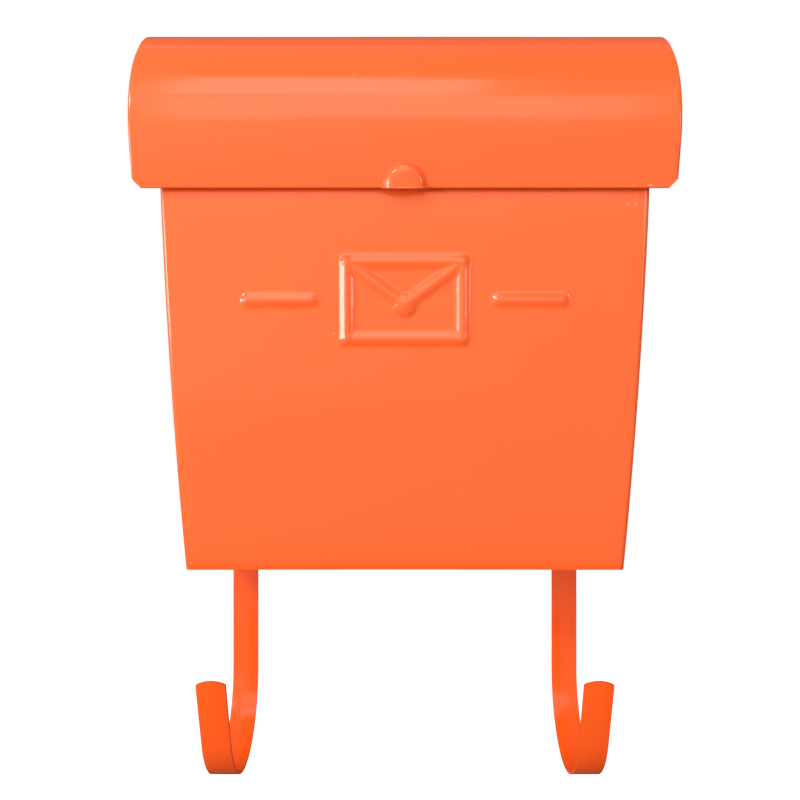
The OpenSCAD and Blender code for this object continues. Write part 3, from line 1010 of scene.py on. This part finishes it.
def powder_coat(name, colour, specular, peel_size, peel_depth, patches_and_highlights=()):
    """Paint of this colour, with pale patches and painted highlights, each given as its mask's
    values and its colour.
    """
    material, tree, shader = new_material(name)
    film = use_group(tree, peel, Size=peel_size, Roughness=0.14, Spread=0.06)
    drift = use_group(tree, tone, Scale=9.0, Thin=shaded(colour, 0.96),
                      Thick=shaded(colour, 1.04))
    dust = use_group(tree, specks, Cells=75.0, Dot=0.028, Share=0.14)
    paint = coloured(tree, dust.outputs["Mask"], drift.outputs["Color"], dust_colour)
    for values, pale in patches_and_highlights:
        spot = use_group(tree, patch_and_highlight, **values)
        paint = coloured(tree, spot.outputs["Mask"], paint, pale)
    tree.links.new(paint, shader.inputs["Base Color"])
    film_on(tree, shader, film, peel_depth, strength=0.6)
    shader.inputs["Specular IOR Level"].default_value = specular
    return material


def zinc_plate(name, colour):
    material, tree, shader = new_material(name)
    film = use_group(tree, peel, Size=900.0, Roughness=0.34, Spread=0.2)
    drift = use_group(tree, tone, Scale=160.0, Thin=shaded(colour, 0.86),
                      Thick=shaded(colour, 1.12))
    shader.inputs["Metallic"].default_value = 1
    tree.links.new(drift.outputs["Color"], shader.inputs["Base Color"])
    film_on(tree, shader, film, 0.01 * mm, strength=1.0)
    return material


print("coat functions ready")

# %% The three coats
dust_colour = (1.0, 0.4, 0.26, 1)
# A paler patch, broken up by noise, at the top of the box's right front fold.
fold_top_patch = {"Place": (122 * mm, -105 * mm, 41 * mm), "Reach": (6 * mm, 6 * mm, 8 * mm),
          "Grain": 420.0, "Edge": 0.49}
# A painted highlight: a broken pale streak along the lid's lower edge at the right, where the
# hem's round edge catches the light.
lid_edge_highlight = {"Place": (122 * mm, -112.5 * mm, 47.9 * mm), "Reach": (30 * mm, 6 * mm, 1.0 * mm),
           "Grain": 450.0, "Edge": 0.55}
fold_top_patch_colour, lid_edge_highlight_colour = (1.0, 0.19, 0.075, 1), (1.0, 0.5, 0.32, 1)
orange = powder_coat("orange_powder_coat", (0.98, 0.124, 0.022), specular=0.35,
                     peel_size=700.0, peel_depth=0.04 * mm,
                     patches_and_highlights=((fold_top_patch, fold_top_patch_colour), (lid_edge_highlight, lid_edge_highlight_colour)))
# The hooks' colour is darker than the box's as painted shade: they hang below the box, where
# less light reaches them.
shaded_hook_paint = powder_coat("shaded_hook_paint", (0.94, 0.1, 0.011), specular=0.22,
                         peel_size=500.0, peel_depth=0.03 * mm)
zinc = zinc_plate("zinc_plate", (0.62, 0.63, 0.64))
print("coats:", orange.name, shaded_hook_paint.name, zinc.name)

# %% [markdown]
# ## Dress the pieces
# Every visible piece gets its coat. The CAD's back and bottom keep their own meshes and
# share the box's paint, and the hinges and all the rivets are left in bare zinc.


# %% Dress the pieces
def dress(piece, material):
    piece.data.materials.clear()
    piece.data.materials.append(material)


for piece in (box_wrap, rolled_lid, *end_plates):
    dress(piece, orange)
for piece in hooks:
    dress(piece, shaded_hook_paint)
for name in ("back_panel", "bottom_panel"):
    dress(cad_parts[name], orange)
for name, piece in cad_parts.items():
    if "rivets" in name or name.startswith("hinge"):
        dress(piece, zinc)
print("materials on")

# %% [markdown]
# ## The floor
# The mailbox hangs in a plain white studio, and the floor lies well below it. Its paint is
# a mid grey that is lifted to white for the camera only, so that it throws little light up
# at the hooks and still shows a shadow. In reflections the floor is bright in front of
# the box and dim under it, as it would be beside a window.

# %% Floor
floor_z, floor_w = -750 * mm, 6
floor_grey, floor_lift = (0.5, 0.5, 0.5, 1), 0.86
white = (1, 1, 1, 1)
deselect_all()
bpy.ops.mesh.primitive_plane_add(size=floor_w, location=(0, 0, floor_z))
floor = bpy.context.object
floor.name = "floor"
floor_paint, floor_tree, floor_shader = new_material("floor_white")
floor_shader.inputs["Base Color"].default_value = floor_grey
floor_shader.inputs["Roughness"].default_value = 0.8
floor_shader.inputs["Emission Color"].default_value = white
floor_rays = node(floor_tree, "ShaderNodeLightPath")
lifted = maths(floor_tree, "MULTIPLY", floor_rays.outputs["Is Camera Ray"], floor_lift)
feed(floor_tree, floor_shader.inputs["Emission Strength"], lifted)
dress(floor, floor_paint)
print("floor", round(-floor_z / mm), "mm below the wall holes' middle")

# %% Floor in reflections
floor_parts = node(floor_tree, "ShaderNodeSeparateXYZ")
feed(floor_tree, floor_parts.inputs[0], object_place(floor_tree))
floor_front = ramp(floor_tree, floor_parts.outputs["Y"], start=-0.6, end=-1.3,
                   low=0.06, high=0.9)
floor_gleam = node(floor_tree, "ShaderNodeEmission")
feed(floor_tree, floor_gleam.inputs["Strength"], floor_front)
floor_mix = node(floor_tree, "ShaderNodeMixShader")
feed(floor_tree, floor_mix.inputs[0], floor_rays.outputs["Is Glossy Ray"])
feed(floor_tree, floor_mix.inputs[1], floor_shader.outputs[0])
feed(floor_tree, floor_mix.inputs[2], floor_gleam.outputs[0])
feed(floor_tree, floor_tree.nodes["Material Output"].inputs["Surface"], floor_mix.outputs[0])
print("floor nodes:", len(floor_tree.nodes))

# %% [markdown]
# ## The world
# The camera sees a white world. As light it is a soft grey, which keeps the colour close
# to what is written. Glossy surfaces see the room: brighter to the left, where the windows
# are, dimmer overhead and far to the right, and dim behind the wall. Light Path tells the
# rays apart.

# %% World
world_grey = 0.36
world = bpy.data.worlds.new("studio")
bpy.context.scene.world = world
world.use_nodes = True
world_tree = world.node_tree
rays = node(world_tree, "ShaderNodeLightPath")
seen = maths(world_tree, "MAXIMUM", rays.outputs["Is Camera Ray"],
             rays.outputs["Is Glossy Ray"])
seen = maths(world_tree, "MAXIMUM", seen, rays.outputs["Is Transmission Ray"])
print("world lights the mailbox at", world_grey)

# %% Room in reflections
way = node(world_tree, "ShaderNodeTexCoord")
way_parts = node(world_tree, "ShaderNodeSeparateXYZ")
feed(world_tree, way_parts.inputs[0], way.outputs["Generated"])
to_right, to_back, to_top = (way_parts.outputs[axis] for axis in "XYZ")
ceiling = ramp(world_tree, to_top, start=0.6, end=0.95, low=1.0, high=0.3)
behind = ramp(world_tree, to_back, start=0.0, end=0.5, low=2.0, high=0.15)
bright_side = ramp(world_tree, to_right, start=-0.4, end=0.4, low=1.7, high=0.9, kind="LINEAR")
dark_side = ramp(world_tree, to_right, start=0.45, end=0.75, low=1.0, high=0.25)
room = maths(world_tree, "MULTIPLY", ceiling, bright_side)
room = maths(world_tree, "MULTIPLY", room, dark_side)
room = maths(world_tree, "MINIMUM", room, behind)
room = maths(world_tree, "MAXIMUM", room, rays.outputs["Is Camera Ray"])

world_level = node(world_tree, "ShaderNodeMix", data_type="FLOAT")
feed(world_tree, world_level.inputs[0], seen)
feed(world_tree, world_level.inputs[2], world_grey)
feed(world_tree, world_level.inputs[3], room)
background = world_tree.nodes["Background"]
feed(world_tree, background.inputs["Strength"], world_level.outputs[0])
background.inputs["Color"].default_value = white
print("world nodes:", len(world_tree.nodes))

# %% [markdown]
# ## The lamps
# The photograph was lit by windows on the left and soft light from above. Small bright
# lamps far to the side give the pressed lines their crisp white flanks, and don't show in
# the flat front or the lid. Two large soft ones above draw the pale bands along the lid.
# Two more at the sides draw thin lines of light along the box's folds.


# %% Lamps
def lamp(name, azimuth, elevation, distance, width, height, level):
    """A rectangular lamp that looks at the box. Its level is its brightness in the picture,
    where 1 is white paper; azimuth is to the right of straight ahead, in degrees."""
    deselect_all()
    turn, rise = math.radians(azimuth), math.radians(elevation)
    away = Vector((math.sin(turn) * math.cos(rise), -math.cos(turn) * math.cos(rise),
                   math.sin(rise)))
    aim = place(0, mouth_d, box_h / 2)
    bpy.ops.object.light_add(type="AREA", location=aim + away * distance)
    light = bpy.context.object
    light.name = light.data.name = name
    light.data.shape = "RECTANGLE"
    light.data.size, light.data.size_y = width, height
    light.data.energy = level * math.pi * width * height
    light.rotation_euler = (-away).to_track_quat("-Z", "Y").to_euler()
    return light


lamps = [
    lamp("window_left", azimuth=-55, elevation=2, distance=2.0, width=0.5, height=0.5, level=21),
    lamp("key_left", azimuth=-38, elevation=30, distance=2.5, width=0.5, height=0.5, level=27),
    lamp("key_right", azimuth=33, elevation=15, distance=2.5, width=0.14, height=0.4, level=30),
    lamp("softbox_above", azimuth=-9, elevation=50, distance=1.5, width=0.65, height=0.5,
         level=3.0),
    lamp("front_fill", azimuth=0, elevation=27, distance=1.6, width=1.1, height=0.66, level=1.8),
    lamp("side_right", azimuth=50, elevation=6, distance=1.5, width=0.1, height=0.4, level=20),
    lamp("side_left", azimuth=-70, elevation=4, distance=2.0, width=0.45, height=0.55, level=14)]
print("lamps on:", [light.name for light in lamps])

# %% [markdown]
# ## The camera
# It stands level in front of the mailbox, at about the middle of its height with the hooks.
# The lens and the distance come from the photograph's perspective: how much of the lid's
# roundness shows, and how much smaller the wall side is than the front.

# %% Camera
camera_y, camera_z = -558 * mm, -65.2 * mm
bpy.ops.object.camera_add(location=(0, camera_y, camera_z), rotation=(math.pi / 2, 0, 0))
camera = bpy.context.object
camera.data.sensor_width = 36
camera.data.lens = 38.25
camera.data.shift_x = -0.0062
bpy.context.scene.camera = camera
bpy.context.scene.view_settings.view_transform = "Standard"
print("camera stands", round((-camera_y - mouth_d) / mm), "mm from the front")
